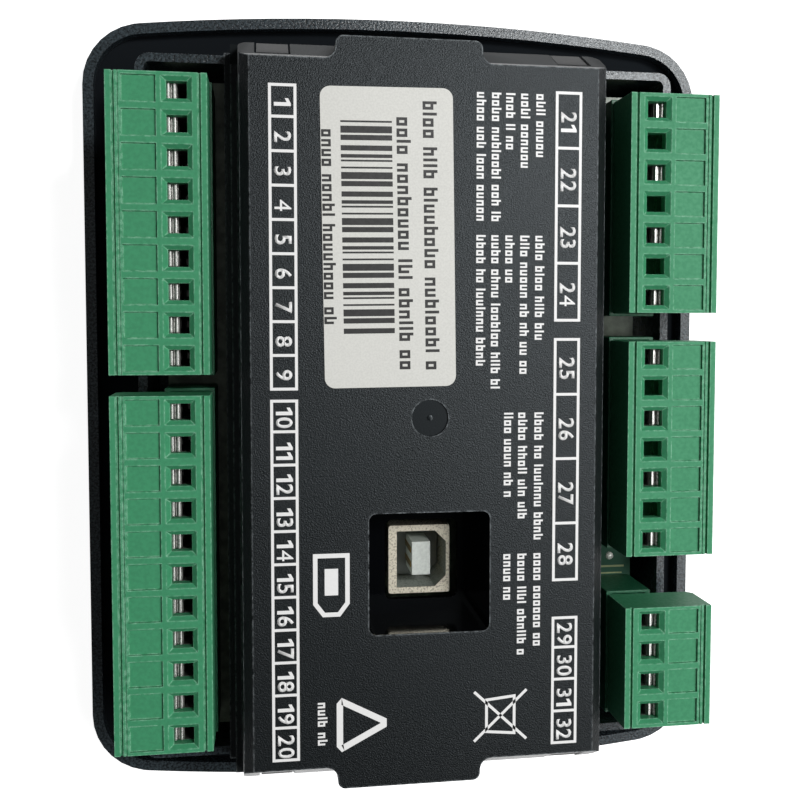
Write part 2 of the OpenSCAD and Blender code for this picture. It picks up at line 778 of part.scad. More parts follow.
// Opening of the data socket, with two bevelled corners on one side
module socket_opening(shrink) {
    w = socket_open_w - 2 * shrink;
    l = socket_open_l - 2 * shrink;
    polygon([
        [-w / 2, -l / 2], [w / 2 - socket_key, -l / 2], [w / 2, -l / 2 + socket_key],
        [w / 2, l / 2 - socket_key], [w / 2 - socket_key, l / 2], [-w / 2, l / 2]
    ]);
}

// Place of the socket in its well
module at_socket(z) {
    translate([well_x, socket_y, z]) children();
}

module data_socket_shell() {
    color(bright_steel) at_socket(board_rear) difference() {
        linear_extrude(socket_h) rounded(socket_w, socket_l, socket_corner_r);
        translate([socket_lean, 0, -over]) linear_extrude(socket_h + 2 * over) socket_opening(0);
    }
}

// Insulating block and contact tongue inside the shell
module data_socket_core() {
    color([0.62, 0.66, 0.64]) at_socket(board_rear) translate([socket_lean, 0, 0]) {
        linear_extrude(socket_h - socket_depth) socket_opening(fit_gap);
        translate([-socket_tongue_w / 2, -socket_tongue_l / 2, 0])
            cube([socket_tongue_w, socket_tongue_l, socket_h - socket_wall / 2]);
    }
}

// A strip's own place: X runs out from the plug's inner face, Z up from the main board
module at_strip(side, y) {
    translate([side * plug_x, y, board_rear]) mirror([side < 0 ? 1 : 0, 0, 0]) children();
}

// Board header: an open trough with key slots in its outer wall
module header(n, fitted) {
    l = n * pole_pitch + 2 * header_over;
    slot_w = key_w + 2 * key_gap;
    difference() {
        translate([header_set, -l / 2, 0]) cube([header_w, l, header_h]);
        translate([header_set + header_wall, -l / 2 + header_end_wall, header_floor])
            cube([header_w - 2 * header_wall, l - 2 * header_end_wall, header_h]);
        for (p = all_poles(n))
            translate([header_set + header_w - 2 * header_wall, p - slot_w / 2, header_floor])
                cube([header_w, slot_w, header_h]);
        for (p = fitted) translate([pin_x, p, header_floor / 2])
            cube([pin_side + 2 * fit_gap, pin_side + 2 * fit_gap, header_floor + over], center = true);
    }
}

// Contact pins of a header
module pins(fitted) {
    low = -board_t - pin_tail;
    color(bright_steel) for (p = fitted)
        translate([pin_x - pin_side / 2, p - pin_side / 2, low])
            cube([pin_side, pin_side, header_floor + pin_h - low]);
}

// Sloped mouth of a wire hole, between two crossed wedges
module wire_funnel() {
    low = plug_top_z - funnel_depth;
    rise = funnel_depth + over;
    out_w = wire_w + (funnel_w - wire_w) * rise / funnel_depth;
    out_l = wire_l + (funnel_l - wire_l) * rise / funnel_depth;
    intersection() {
        bar_along_y(funnel_l + 2 * over, [
            [-wire_w / 2, low], [wire_w / 2, low], [out_w / 2, low + rise], [-out_w / 2, low + rise]
        ]);
        bar_along_x(funnel_w + 2 * over, [
            [-wire_l / 2, low], [wire_l / 2, low], [out_l / 2, low + rise], [-out_l / 2, low + rise]
        ]);
    }
}

// Plug housing: the wire block, the part that enters the header, and a place for each pole's metal
module plug(n) {
    l = n * pole_pitch;
    insert_l = l + 2 * (header_over - header_end_wall - slide_gap);
    low = shoulder_z - plug_insert;
    foot = 1;
    color(plug_green) difference() {
        union() {
            bar_along_y(l, [
                [0, shoulder_z], [plug_w - foot, shoulder_z], [plug_w, shoulder_z + foot],
                [plug_w, plug_top_z], [0, plug_top_z]
            ]);
            translate([insert_x, -insert_l / 2, low]) cube([insert_w, insert_l, plug_insert + over]);
            for (p = all_poles(n)) translate([insert_x + insert_w - over, p - key_w / 2, low])
                cube([key_proud + over, key_w, plug_insert + over]);
        }
        for (p = all_poles(n)) translate([0, p, 0]) {
            translate([funnel_x, 0, 0]) wire_funnel();
            translate([funnel_x - wire_w / 2, -wire_l / 2, screw_level]) cube([wire_w, wire_l, plug_h]);
            translate([funnel_x - chamber_w / 2, -chamber_l / 2, chamber_z])
                cube([chamber_w, chamber_l, chamber_top - chamber_z]);
            translate([funnel_x, 0, screw_level]) rotate([0, 90, 0])
                cylinder(d = screw_bore_d, h = plug_w);
            translate([pin_x - contact_w / 2, -contact_l / 2, low - over])
                cube([contact_w, contact_l, chamber_z - low + 2 * over]);
            translate([plug_w - panel_set - panel_w, -panel_l / 2, plug_top_z - panel_depth])
                cube([panel_w, panel_l, over]);
        }
        for (x = [groove_set, plug_w - groove_set - groove_w])
            translate([x, -l, plug_top_z - groove_depth]) cube([groove_w, 2 * l, over]);
        translate([plug_w - line_set - line_w, -l, plug_top_z - line_w]) cube([line_w, 2 * l, over]);
    }
}

// Wire clamps and the contact leaves that grip the pins
module clamps(fitted) {
    w = chamber_w - 2 * fit_gap;
    l = chamber_l - 2 * fit_gap;
    leaf_x = pin_x - pin_side / 2 - slide_gap - contact_t;
    leaf_z = header_floor + 2 * slide_gap;
    color(bright_steel) for (p = fitted) translate([0, p, 0]) {
        translate([funnel_x - w / 2, 0, screw_level]) difference() {
            translate([0, -l / 2, -clamp_h / 2]) cube([w, l, clamp_h]);
            translate([clamp_t, -wire_l / 2, -clamp_h]) cube([wire_w - plate_way, wire_l, 2 * clamp_h]);
            translate([w / 2, 0, 0]) rotate([0, 90, 0]) cylinder(d = screw_d + 2 * fit_gap, h = w);
        }
        translate([leaf_x, -wire_l / 2 + fit_gap, leaf_z])
            cube([contact_t, wire_l - 2 * fit_gap, chamber_z - leaf_z + fit_gap]);
        translate([leaf_x, -l / 2, chamber_z + fit_gap]) cube([contact_t + clamp_t, l, clamp_t]);
    }
}

// Terminal screws, with a slot across each head
module terminal_screws(fitted) {
    head = plug_w - screw_sunk;
    tip = funnel_x + chamber_w / 2 - fit_gap - 2 * clamp_t;
    color(bright_steel) for (p = fitted) translate([0, p, screw_level]) difference() {
        rotate([0, 90, 0]) {
            translate([0, 0, tip]) cylinder(d = screw_d, h = head - tip);
            translate([0, 0, head - screw_head_l]) cylinder(d = screw_head_d, h = screw_head_l);
        }
        translate([head - screw_slot_depth, -screw_slot_w / 2, -screw_head_d])
            cube([plug_w, screw_slot_w, 2 * screw_head_d]);
    }
}

module header_1_9() {
    color(header_green) at_strip(left, strip_y_1_9) header(poles_1_9, all_poles(poles_1_9));
}

module header_10_20() {
    color(header_green) at_strip(left, strip_y_10_20) header(poles_10_20, all_poles(poles_10_20));
}

module header_21_24() {
    color(header_green) at_strip(right, strip_y_21_24) header(poles_21_24, every_other(poles_21_24));
}

module header_25_28() {
    color(header_green) at_strip(right, strip_y_25_28) header(poles_25_28, every_other(poles_25_28));
}

module header_29_32() {
    color(header_green) at_strip(right, strip_y_29_32) header(poles_29_32, all_poles(poles_29_32));
}

module pins_1_9() {
    at_strip(left, strip_y_1_9) pins(all_poles(poles_1_9));
}

module pins_10_20() {
    at_strip(left, strip_y_10_20) pins(all_poles(poles_10_20));
}

module pins_21_24() {
    at_strip(right, strip_y_21_24) pins(every_other(poles_21_24));
}

module pins_25_28() {
    at_strip(right, strip_y_25_28) pins(every_other(poles_25_28));
}

module pins_29_32() {
    at_strip(right, strip_y_29_32) pins(all_poles(poles_29_32));
}

module plug_1_9() {
    at_strip(left, strip_y_1_9) plug(poles_1_9);
}

module plug_10_20() {
    at_strip(left, strip_y_10_20) plug(poles_10_20);
}

module plug_21_24() {
    at_strip(right, strip_y_21_24) plug(poles_21_24);
}

module plug_25_28() {
    at_strip(right, strip_y_25_28) plug(poles_25_28);
}

module plug_29_32() {
    at_strip(right, strip_y_29_32) plug(poles_29_32);
}

module clamps_1_9() {
    at_strip(left, strip_y_1_9) clamps(all_poles(poles_1_9));
}

module clamps_10_20() {
    at_strip(left, strip_y_10_20) clamps(all_poles(poles_10_20));
}

module clamps_21_24() {
    at_strip(right, strip_y_21_24) clamps(every_other(poles_21_24));
}

module clamps_25_28() {
    at_strip(right, strip_y_25_28) clamps(every_other(poles_25_28));
}

module clamps_29_32() {
    at_strip(right, strip_y_29_32) clamps(all_poles(poles_29_32));
}

module screws_1_9() {
    at_strip(left, strip_y_1_9) terminal_screws(all_poles(poles_1_9));
}

module screws_10_20() {
    at_strip(left, strip_y_10_20) terminal_screws(all_poles(poles_10_20));
}

module screws_21_24() {
    at_strip(right, strip_y_21_24) terminal_screws(every_other(poles_21_24));
}

module screws_25_28() {
    at_strip(right, strip_y_25_28) terminal_screws(every_other(poles_25_28));
}

module screws_29_32() {
    at_strip(right, strip_y_29_32) terminal_screws(all_poles(poles_29_32));
}

front_bezel();
fascia_overlay();
display_window();
display_module();
display_board();
button_stop();
button_auto();
button_start();
button_scroll_up();
button_scroll_down();
button_switches();
board_link();
main_board();
relays();
capacitors();
current_transformers();
board_screws();
rear_cover();
blank_label();
data_socket_shell();
data_socket_core();
header_1_9();
header_10_20();
header_21_24();
header_25_28();
header_29_32();
pins_1_9();
pins_10_20();
pins_21_24();
pins_25_28();
pins_29_32();
plug_1_9();
plug_10_20();
plug_21_24();
plug_25_28();
plug_29_32();
clamps_1_9();
clamps_10_20();
clamps_21_24();
clamps_25_28();
clamps_29_32();
screws_1_9();
screws_10_20();
screws_21_24();
screws_25_28();
screws_29_32();
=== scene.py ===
"""Looks of a panel-mounted generator controller that lies on its front face, seen from the rear.

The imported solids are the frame: they keep their shape, take procedural materials and a small edge
radius, and carry the print of both sides, the label's marks, the ribs in the wire holes, the
socket's contacts and the board's solder. Lengths in the settings and the stage are metres. The
layout and the materials are in millimetres, and places are given from the frame's origin.
"""

import json
import math

import bmesh
import bpy
from mathutils import Matrix, Vector


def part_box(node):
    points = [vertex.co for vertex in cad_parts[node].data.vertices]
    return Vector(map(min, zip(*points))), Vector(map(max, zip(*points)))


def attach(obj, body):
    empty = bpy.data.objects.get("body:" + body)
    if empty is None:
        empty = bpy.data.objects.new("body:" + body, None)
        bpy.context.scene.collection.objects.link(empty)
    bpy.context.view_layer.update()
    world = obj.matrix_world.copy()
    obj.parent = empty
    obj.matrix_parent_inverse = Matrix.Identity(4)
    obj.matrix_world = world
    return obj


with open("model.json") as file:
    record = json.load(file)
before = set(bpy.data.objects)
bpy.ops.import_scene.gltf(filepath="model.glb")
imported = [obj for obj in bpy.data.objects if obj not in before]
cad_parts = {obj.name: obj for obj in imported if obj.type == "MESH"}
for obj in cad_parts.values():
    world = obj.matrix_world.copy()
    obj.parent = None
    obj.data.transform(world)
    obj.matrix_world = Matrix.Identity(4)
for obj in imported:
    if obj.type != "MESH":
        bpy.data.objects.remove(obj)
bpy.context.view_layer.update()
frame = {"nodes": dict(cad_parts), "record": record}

bl_info = {
    "name": "Generator controller",
    "version": (1, 0, 0),
    "blender": (4, 5, 0),
    "location": "3D View > Sidebar > Controller",
    "description": "Dresses the packed generator controller for a picture of its rear side",
    "category": "Object",
}

MM = 0.001
ROOT = "controller"
UNTURNED = Matrix.Identity(4)
WHITE = (1.0, 1.0, 1.0, 1.0)

# Layout of the terminal strips and the buttons

PITCH = 5.08
BUTTONS = ("stop", "auto", "start", "scroll_up", "scroll_down")
# poles of each strip, and the step between the poles that carry metal, from the upper end
STRIPS = {"1_9": (9, 1), "10_20": (11, 1), "21_24": (7, 2), "25_28": (7, 2), "29_32": (4, 1)}
# ribs of a pressure plate: distance from the plug's inner side, width, rise above the clamp
RIBS = ((4.8, 0.35, 0.8), (5.3, 0.2, 0.3), (5.7, 0.35, 0.9))
RIB_HALF_LENGTH = 1.2
RIB_ROOT = 0.2
RIB_EDGE = 0.08

# Layout of the print on the rear cover

# columns of terminal numbers: left and right edge, upper end, heights of the cells, first number
NUMBER_COLUMNS = (
    (-24.4, -20.15, 51.05, [5.168] * 9, 1),
    (-24.4, -20.15, 3.13, [5.163] * 11, 10),
    (20.3, 24.6, 51.35, [9.045] * 4, 21),
    (20.3, 24.6, 12.55, [9.22, 10.35, 10.45, 9.22], 25),
    (20.3, 24.6, -32.5, [5.26] * 4, 29),
)
DIGIT_GAP = 0.13  # in heights of a digit
# blocks of stand-in lines: first seed and its step, start in Y, then X and end in Y of each line
CAPTIONS = (
    (17, 5, 50.8, ((17.9, 40.0), (15.45, 38.5), (13.05, 41.5), (10.8, 30.3), (8.4, 30.3))),
    (31, 3, 28.7, ((17.9, 12.0), (15.45, 6.0), (13.05, 20.5), (10.8, 3.5), (8.4, 7.0))),
    (43, 7, 0.7, ((17.95, -19.8), (15.3, -16.5), (13.0, -13.0))),
    (53, 3, -22.0, ((17.95, -38.0), (15.3, -39.2), (13.0, -30.5))),
    (61, 0, -44.6, ((-16.6, -51.8),)),
)
CAPTION_HEIGHT = 1.5
# width of the line and corners of a plain socket outline, a triangle and a square
SIGNS = (
    (0.7, ((-18, -29), (-16.5, -31), (-13.8, -31), (-12.3, -29), (-12.3, -21), (-18, -21))),
    (1.0, ((-14.4, -44.9), (-14.4, -51.8), (-13.6, -52.7), (-13.2, -52.5), (-6.5, -49.0),
           (-6.5, -47.7), (-13.2, -44.2), (-13.6, -44.0))),
    (0.45, ((9.4, -51.0), (14.4, -51.5), (14.4, -44.9), (9.4, -45.4))),
)
SOCKET_SIGN_TONGUE = (-16.2, -14.1, -27.6, -23.4)
CROSS = (((7.6, -44.2), (16.2, -52.3)), ((7.6, -52.3), (16.2, -44.2)))
CROSS_WIDTH = 0.45

# Layout of the label's marks, from the label's centre

LABEL_TURN = math.radians(0.8)
STRIPE_ENDS = (-7.2, 0.7)
STRIPES_TOP, STRIPES_LOW = 17.9, -14.6
# lines of stand-in print: X, start and end in Y, height, seed
LABEL_LINES = (
    (6.6, 21.0, -21.0, 2.2, 23),
    (2.5, 18.5, -21.5, 2.2, 41),
    (-9.2, 16.5, -14.5, 1.9, 59),
)

# Layout of the board between the strips, and of the contacts on the socket's tongue

SOLDER_DOT = (37.5, -28.2)
SOLDER_RADIUS = 0.75
SOLDER_FLATTENED = (1.0, 1.0, 0.55)
TRACKS = ((35.6, 40.3, -30.35, -30.0), (35.6, 39.9, -31.55, -31.3))

TONGUE_HALF = 1.575
CONTACT_ROOT, CONTACT_RISE = 0.1, 0.14
CONTACT_ROWS = (-1.25, 1.25)
CONTACT_HALF_WIDTH = 0.5
CONTACT_LOW, CONTACT_HIGH = 8.8, 1.6  # below the rim of the shell
CONTACT_EDGE = 0.05

# Layout of the front

WINDOW_MARGIN = 1.0
WINDOW_LINE = 0.6
RING_RADIUS = 7.6
RING_LINE = 0.5
FRONT_RULE = (-44.0, -43.5, -56.0, 56.0)
# plain signs from a button's centre; the button without one gets a dot
BUTTON_SIGNS = {
    "stop": ((-2, -2), (2, -2), (2, 2), (-2, 2)),
    "start": ((-2.4, -0.7), (2.4, -0.7), (2.4, 0.7), (-2.4, 0.7)),
    "scroll_up": ((-1.6, -2.4), (2.2, 0), (-1.6, 2.4)),
    "scroll_down": ((1.6, 2.4), (-2.2, 0), (1.6, -2.4)),
}
DOT_RADIUS = 2.2
# lines of stand-in print on the display: distance from its +X edge and from its -Y edge, seed
DISPLAY_LINES = ((6, 6, 29), (14, 13, 37), (22, 6, 45), (30, 13, 53))
DISPLAY_MARGIN = 4
DISPLAY_HEIGHT = 4.0

# Parts of a piece with a finish of their own, at some of them painted shade and at the shell's inside
# a painted reflection: low and high corner of a box

CHANNEL_FLOOR = ((-56, -70, 5.0), (56, 70, 6.6))
# painted shade: the snap arms where they stand in the cover's windows, near-black
SNAP_ARMS_SHADE = ((-60, -70, 26.5), (60, 70, 45.0))
# the socket well's walls: polished, and painted darker than the rest of the cover as shade
POLISHED_WELL_AND_SHADE = ((-9.6, -34.6, 28.0), (10.4, -14.6, 42.6))
GATE_RECESS = ((-2.7, -3.1, 42.4), (3.5, 3.1, 42.97))
UPPER_SLOPE = ((-31, 55.5, 30.0), (31, 62, 42.9))
LOWER_BOARD = ((30, -60, 15.0), (50, -20, 25.0))
# painted shade: the floor at the bottom of the socket's cavity, darker than the tongue
SOCKET_FLOOR_SHADE = ((-6, -32, 18.0), (7, -18, 22.2))
# painted reflection: the inside of the shell, a matt grey in place of its metal
SHELL_INSIDE_PAINTED = ((-3.45, -29.98, 18.0), (5.05, -20.28, 30.0))

# Edge radii: facets that lean less than flat become one face, and edges over sharp are rounded

WELD_GAP = 0.002
FLAT = math.radians(0.6)
SHARP = math.radians(28)

# Stage, in metres

FLOOR_HALF = 1.5
FLOOR_GLOW = 0.9
# place and side of each lamp; its power is the setting of the same name
LAMPS = {
    "key": ((0.22, 0.20, 0.62), 0.12),
    "side": ((0.44, 0.12, 0.62), 0.30),
    "low": ((0.36, -0.16, 0.64), 0.30),
    "top": ((0.0, 0.10, 0.80), 0.40),
    "fill": ((-0.50, -0.35, 0.60), 0.80),
}
# the viewpoint, solved from measured points: the turn in the first three columns, then the place
VIEWPOINT = Matrix((
    (0.986365, 0.007076, -0.164418, -0.0251125),
    (0.002577, 0.998288, 0.058425, 0.0161518),
    (0.164551, -0.058052, 0.984659, 0.2145516),
    (0.0, 0.0, 0.0, 1.0)))
SENSOR_WIDTH = 36.0  # in millimetres, as the lens is
FRAMING = (-0.0625, -0.025)  # shift of the lens, in widths of the picture


def linear(code):
    """The linear colour of an sRGB hex code."""
    parts = [int(code[i:i + 2], 16) / 255 for i in (1, 3, 5)]
    return [c / 12.92 if c <= 0.04045 else ((c + 0.055) / 1.055) ** 2.4 for c in parts] + [1.0]


# Settings


class FinishSettings(bpy.types.PropertyGroup):
    """Colours and edges of the mouldings"""

    case: bpy.props.FloatVectorProperty(
        name="Case", description="Colour of the bezel and the tub",
        default=linear("#455056"), size=4, min=0.0, max=1.0, subtype="COLOR")
    cover: bpy.props.FloatVectorProperty(
        name="Cover", description="Colour of the rear cover",
        default=linear("#0c1113"), size=4, min=0.0, max=1.0, subtype="COLOR")
    plug: bpy.props.FloatVectorProperty(
        name="Plug", description="Colour of the pluggable terminals",
        default=linear("#459b6f"), size=4, min=0.0, max=1.0, subtype="COLOR")
    header: bpy.props.FloatVectorProperty(
        name="Header", description="Colour of the headers on the board",
        default=linear("#1b6142"), size=4, min=0.0, max=1.0, subtype="COLOR")
    label: bpy.props.FloatVectorProperty(
        name="Label", description="Colour of the label",
        default=linear("#e7e7e1"), size=4, min=0.0, max=1.0, subtype="COLOR")
    case_edge: bpy.props.FloatProperty(
        name="Case edge", description="Edge radius of the bezel and the cover",
        default=0.3 * MM, min=0.05 * MM, max=1 * MM,
        precision=5, unit="LENGTH", subtype="DISTANCE")
    small_edge: bpy.props.FloatProperty(
        name="Small edge", description="Edge radius of the terminal strips and small parts",
        default=0.12 * MM, min=0.02 * MM, max=0.5 * MM,
        precision=5, unit="LENGTH", subtype="DISTANCE")


class PrintSettings(bpy.types.PropertyGroup):
    """Print on the rear cover and on the front"""

    line: bpy.props.FloatProperty(
        name="Line", description="Width of the lines around the terminal numbers",
        default=0.44 * MM, min=0.1 * MM, max=1 * MM,
        precision=5, unit="LENGTH", subtype="DISTANCE")
    digit: bpy.props.FloatProperty(
        name="Digit", description="Height of the terminal numbers",
        default=2.55 * MM, min=1 * MM, max=4 * MM,
        precision=5, unit="LENGTH", subtype="DISTANCE")
    lift: bpy.props.FloatProperty(
        name="Lift", description="Height of the ink above what it is printed on",
        default=0.03 * MM, min=0.005 * MM, max=0.1 * MM,
        precision=5, unit="LENGTH", subtype="DISTANCE")


class StageSettings(bpy.types.PropertyGroup):
    """Lights and camera"""

    key: bpy.props.FloatProperty(
        name="Key", description="Power of the small light at the upper right",
        default=1.97, min=0.0, max=100.0, unit="POWER")
    side: bpy.props.FloatProperty(
        name="Side", description="Power of the large light on the right",
        default=1.2, min=0.0, max=100.0, unit="POWER")
    low: bpy.props.FloatProperty(
        name="Low", description="Power of the large light at the lower right",
        default=1.3, min=0.0, max=100.0, unit="POWER")
    top: bpy.props.FloatProperty(
        name="Top", description="Power of the soft light overhead",
        default=0.17, min=0.0, max=100.0, unit="POWER")
    fill: bpy.props.FloatProperty(
        name="Fill", description="Power of the wide light on the left",
        default=0.32, min=0.0, max=100.0, unit="POWER")
    sky: bpy.props.FloatProperty(
        name="Sky", description="Strength of the even light of the room",
        default=0.02, min=0.0, max=2.0)
    lens: bpy.props.FloatProperty(
        name="Lens", description="Focal length of the camera, in millimetres",
        default=49.877, min=20.0, max=120.0)


# Materials

# sockets of a Mix node by place, because their names repeat for numbers and colours
FACTOR = 0
A_VALUE, B_VALUE = 2, 3
A_COLOUR, B_COLOUR = 6, 7
VALUE_OUT, COLOUR_OUT = 0, 2

FINE = {"Detail": 3.0, "Roughness": 0.6}
GRAIN_SHARE = 0.8  # of the change in tone; the rest is a slow drift
DRIFT_SIZE = 14
SMEAR_SIZE = 9
# painted edge highlight: cosine of a rounded normal's lean at which it starts and is full, and the
# size of its spots
GLINT_START, GLINT_FULL = 0.998, 0.93
GLINT_SPOT = 0.8


def node(tree, kind, inputs=None, **settings):
    """Adds a node with its settings; an input is a value, or the socket that it is linked to."""
    made = tree.nodes.new(kind)
    for name, value in settings.items():
        setattr(made, name, value)
    for name, value in (inputs or {}).items():
        if isinstance(value, bpy.types.NodeSocket):
            tree.links.new(value, made.inputs[name])
        else:
            made.inputs[name].default_value = value
    return made


def empty_material(name):
    """A material without nodes; returns it and its tree."""
    mat = bpy.data.materials.new(name)
    mat.use_nodes = True
    mat.node_tree.nodes.clear()
    return mat, mat.node_tree


def surfaced(mat, inputs):
    """Ends a material with a shader that has these inputs, and returns the material."""
    skin = node(mat.node_tree, "ShaderNodeBsdfPrincipled", inputs)
    node(mat.node_tree, "ShaderNodeOutputMaterial", {"Surface": skin.outputs["BSDF"]})
    return mat


def inside(tree, place, box):
    """1 inside a box in millimetres of the part's coordinates, 0 outside."""
    middle = [(a + b) / 2 * MM for a, b in zip(*box)]
    half = [(b - a) / 2 * MM for a, b in zip(*box)]
    offset = node(tree, "ShaderNodeVectorMath", {0: place, 1: middle},
                  operation="SUBTRACT").outputs[0]
    away = node(tree, "ShaderNodeVectorMath", {0: offset}, operation="ABSOLUTE").outputs[0]
    past = node(tree, "ShaderNodeVectorMath", {0: away, 1: half}, operation="SUBTRACT").outputs[0]
    axes = node(tree, "ShaderNodeSeparateXYZ", {0: past}).outputs
    wide = node(tree, "ShaderNodeMath", {0: axes[0], 1: axes[1]}, operation="MAXIMUM").outputs[0]
    most = node(tree, "ShaderNodeMath", {0: wide, 1: axes[2]}, operation="MAXIMUM").outputs[0]
    return node(tree, "ShaderNodeMath", {0: most, 1: 0.0}, operation="LESS_THAN").outputs[0]


def painted_edge_glint(tree, place, radius):
    """Grows towards 1 in spots near edges, within this many millimetres: the mask of a painted
    highlight on edges.
    """
    plain = node(tree, "ShaderNodeNewGeometry").outputs["Normal"]
    rounded = node(tree, "ShaderNodeBevel", {"Radius": radius * MM}, samples=4).outputs[0]
    lean = node(tree, "ShaderNodeVectorMath", {0: plain, 1: rounded},
                operation="DOT_PRODUCT").outputs["Value"]
    near = node(tree, "ShaderNodeMapRange", {
        "Value": lean, "From Min": GLINT_START, "From Max": GLINT_FULL}).outputs[0]
    spots = node(tree, "ShaderNodeTexNoise", {
        "Vector": place, "Scale": 1 / (GLINT_SPOT * MM), "Detail": 3.0}).outputs["Fac"]
    glinting = node(tree, "ShaderNodeMapRange", {
        "Value": spots, "From Min": 0.35, "From Max": 0.65}).outputs[0]
    return node(tree, "ShaderNodeMath", {0: near, 1: glinting}, operation="MULTIPLY").outputs[0]


def moulded(name, light, dip, rough, grain, depth, zones=(), edge_glint=None, gleam="#ffffff"):
    """Moulded plastic: a colour and its darker dips in a grain, which also shapes the surface.

    Dip is how dark the dips are against the colour. Grain is its width and depth its height. A zone
    is (box, colour, roughness): a part of the same moulding without grain, with its own colour and
    roughness; at some zones that colour is painted shade. The edge tone is (colour, radius): a paler
    tone in spots along edges, a painted highlight. Gleam is the colour of reflections."""
    mat, tree = empty_material(name)
    place = node(tree, "ShaderNodeTexCoord").outputs["Object"]
    grains = node(tree, "ShaderNodeTexNoise", {
        "Vector": place, "Scale": 1 / (grain * MM), **FINE}).outputs["Fac"]
    cloud = node(tree, "ShaderNodeTexNoise", {
        "Vector": place, "Scale": 1 / (DRIFT_SIZE * MM)}).outputs["Fac"]
    # the tone runs from 0 in the dips to 1
    spots = node(tree, "ShaderNodeMapRange", {
        "Value": grains, "From Min": 0.38, "From Max": 0.62, "To Max": GRAIN_SHARE}).outputs[0]
    drift = node(tree, "ShaderNodeMapRange", {
        "Value": cloud, "From Min": 0.3, "From Max": 0.7, "To Max": 1 - GRAIN_SHARE}).outputs[0]
    tone = node(tree, "ShaderNodeMath", {0: spots, 1: drift}, operation="ADD").outputs[0]
    dark = [c * dip for c in light[:3]] + [1.0]
    colour = node(tree, "ShaderNodeMix", {FACTOR: tone, A_COLOUR: dark, B_COLOUR: light},
                  data_type="RGBA").outputs[COLOUR_OUT]
    shine = node(tree, "ShaderNodeMapRange", {
        "Value": tone, "To Min": rough * 1.1, "To Max": rough * 0.9}).outputs[0]
    height = grains
    # painted highlight: a paler colour in spots along edges, where light catches them
    if edge_glint:
        glint_colour, radius = edge_glint
        glinting = painted_edge_glint(tree, place, radius)
        colour = node(tree, "ShaderNodeMix", {
            FACTOR: glinting, A_COLOUR: colour, B_COLOUR: linear(glint_colour)},
            data_type="RGBA").outputs[COLOUR_OUT]
    for box, tint, own_rough in zones:
        mask = inside(tree, place, box)
        colour = node(tree, "ShaderNodeMix", {
            FACTOR: mask, A_COLOUR: colour, B_COLOUR: linear(tint)},
            data_type="RGBA").outputs[COLOUR_OUT]
        shine = node(tree, "ShaderNodeMix", {
            FACTOR: mask, A_VALUE: shine, B_VALUE: own_rough}).outputs[VALUE_OUT]
        height = node(tree, "ShaderNodeMix", {
            FACTOR: mask, A_VALUE: height, B_VALUE: 0.5}).outputs[VALUE_OUT]
    relief = node(tree, "ShaderNodeBump", {
        "Strength": 1.0, "Distance": depth * MM, "Height": height}).outputs[0]
    return surfaced(mat, {"Base Color": colour, "Roughness": shine, "Normal": relief,
                          "Specular Tint": linear(gleam)})


def metal(name, dark, light, rough, grain, sheen=1.0, painted_inside=None):
    """Plated metal: a slightly cloudy reflection with fine marks.

    Sheen under 1 leaves it part matt. The inside box is (box, colour): a matt colour painted inside a
    shell in place of its metal reflections."""
    mat, tree = empty_material(name)
    place = node(tree, "ShaderNodeTexCoord").outputs["Object"]
    cloud = node(tree, "ShaderNodeTexNoise", {
        "Vector": place, "Scale": 1 / (grain * MM), **FINE}).outputs["Fac"]
    colour = node(tree, "ShaderNodeMix", {
        FACTOR: cloud, A_COLOUR: linear(dark), B_COLOUR: linear(light)},
        data_type="RGBA").outputs[COLOUR_OUT]
    # painted reflection: a matt colour inside the shell in place of its metal
    if painted_inside:
        box, tint = painted_inside
        mask = inside(tree, place, box)
        colour = node(tree, "ShaderNodeMix", {
            FACTOR: mask, A_COLOUR: colour, B_COLOUR: linear(tint)},
            data_type="RGBA").outputs[COLOUR_OUT]
        sheen = node(tree, "ShaderNodeMix", {
            FACTOR: mask, A_VALUE: sheen, B_VALUE: 0.0}).outputs[VALUE_OUT]
    shine = node(tree, "ShaderNodeMapRange", {
        "Value": cloud, "From Min": 0.3, "From Max": 0.7,
        "To Min": rough * 0.7, "To Max": rough * 1.3}).outputs[0]
    relief = node(tree, "ShaderNodeBump", {
        "Strength": 0.4, "Distance": 0.02 * MM, "Height": cloud}).outputs[0]
    return surfaced(mat, {"Base Color": colour, "Metallic": sheen, "Roughness": shine,
                          "Normal": relief})


def glazing(name, tint, rough):
    """Clear acrylic with a slight tint and faint smears."""
    mat, tree = empty_material(name)
    place = node(tree, "ShaderNodeTexCoord").outputs["Object"]
    smear = node(tree, "ShaderNodeTexNoise", {
        "Vector": place, "Scale": 1 / (SMEAR_SIZE * MM), "Detail": 4.0}).outputs["Fac"]
    shine = node(tree, "ShaderNodeMapRange", {
        "Value": smear, "From Min": 0.35, "From Max": 0.75,
        "To Min": rough, "To Max": rough * 3}).outputs[0]
    return surfaced(mat, {"Base Color": linear(tint), "Roughness": shine,
                          "Transmission Weight": 0.94, "IOR": 1.49})


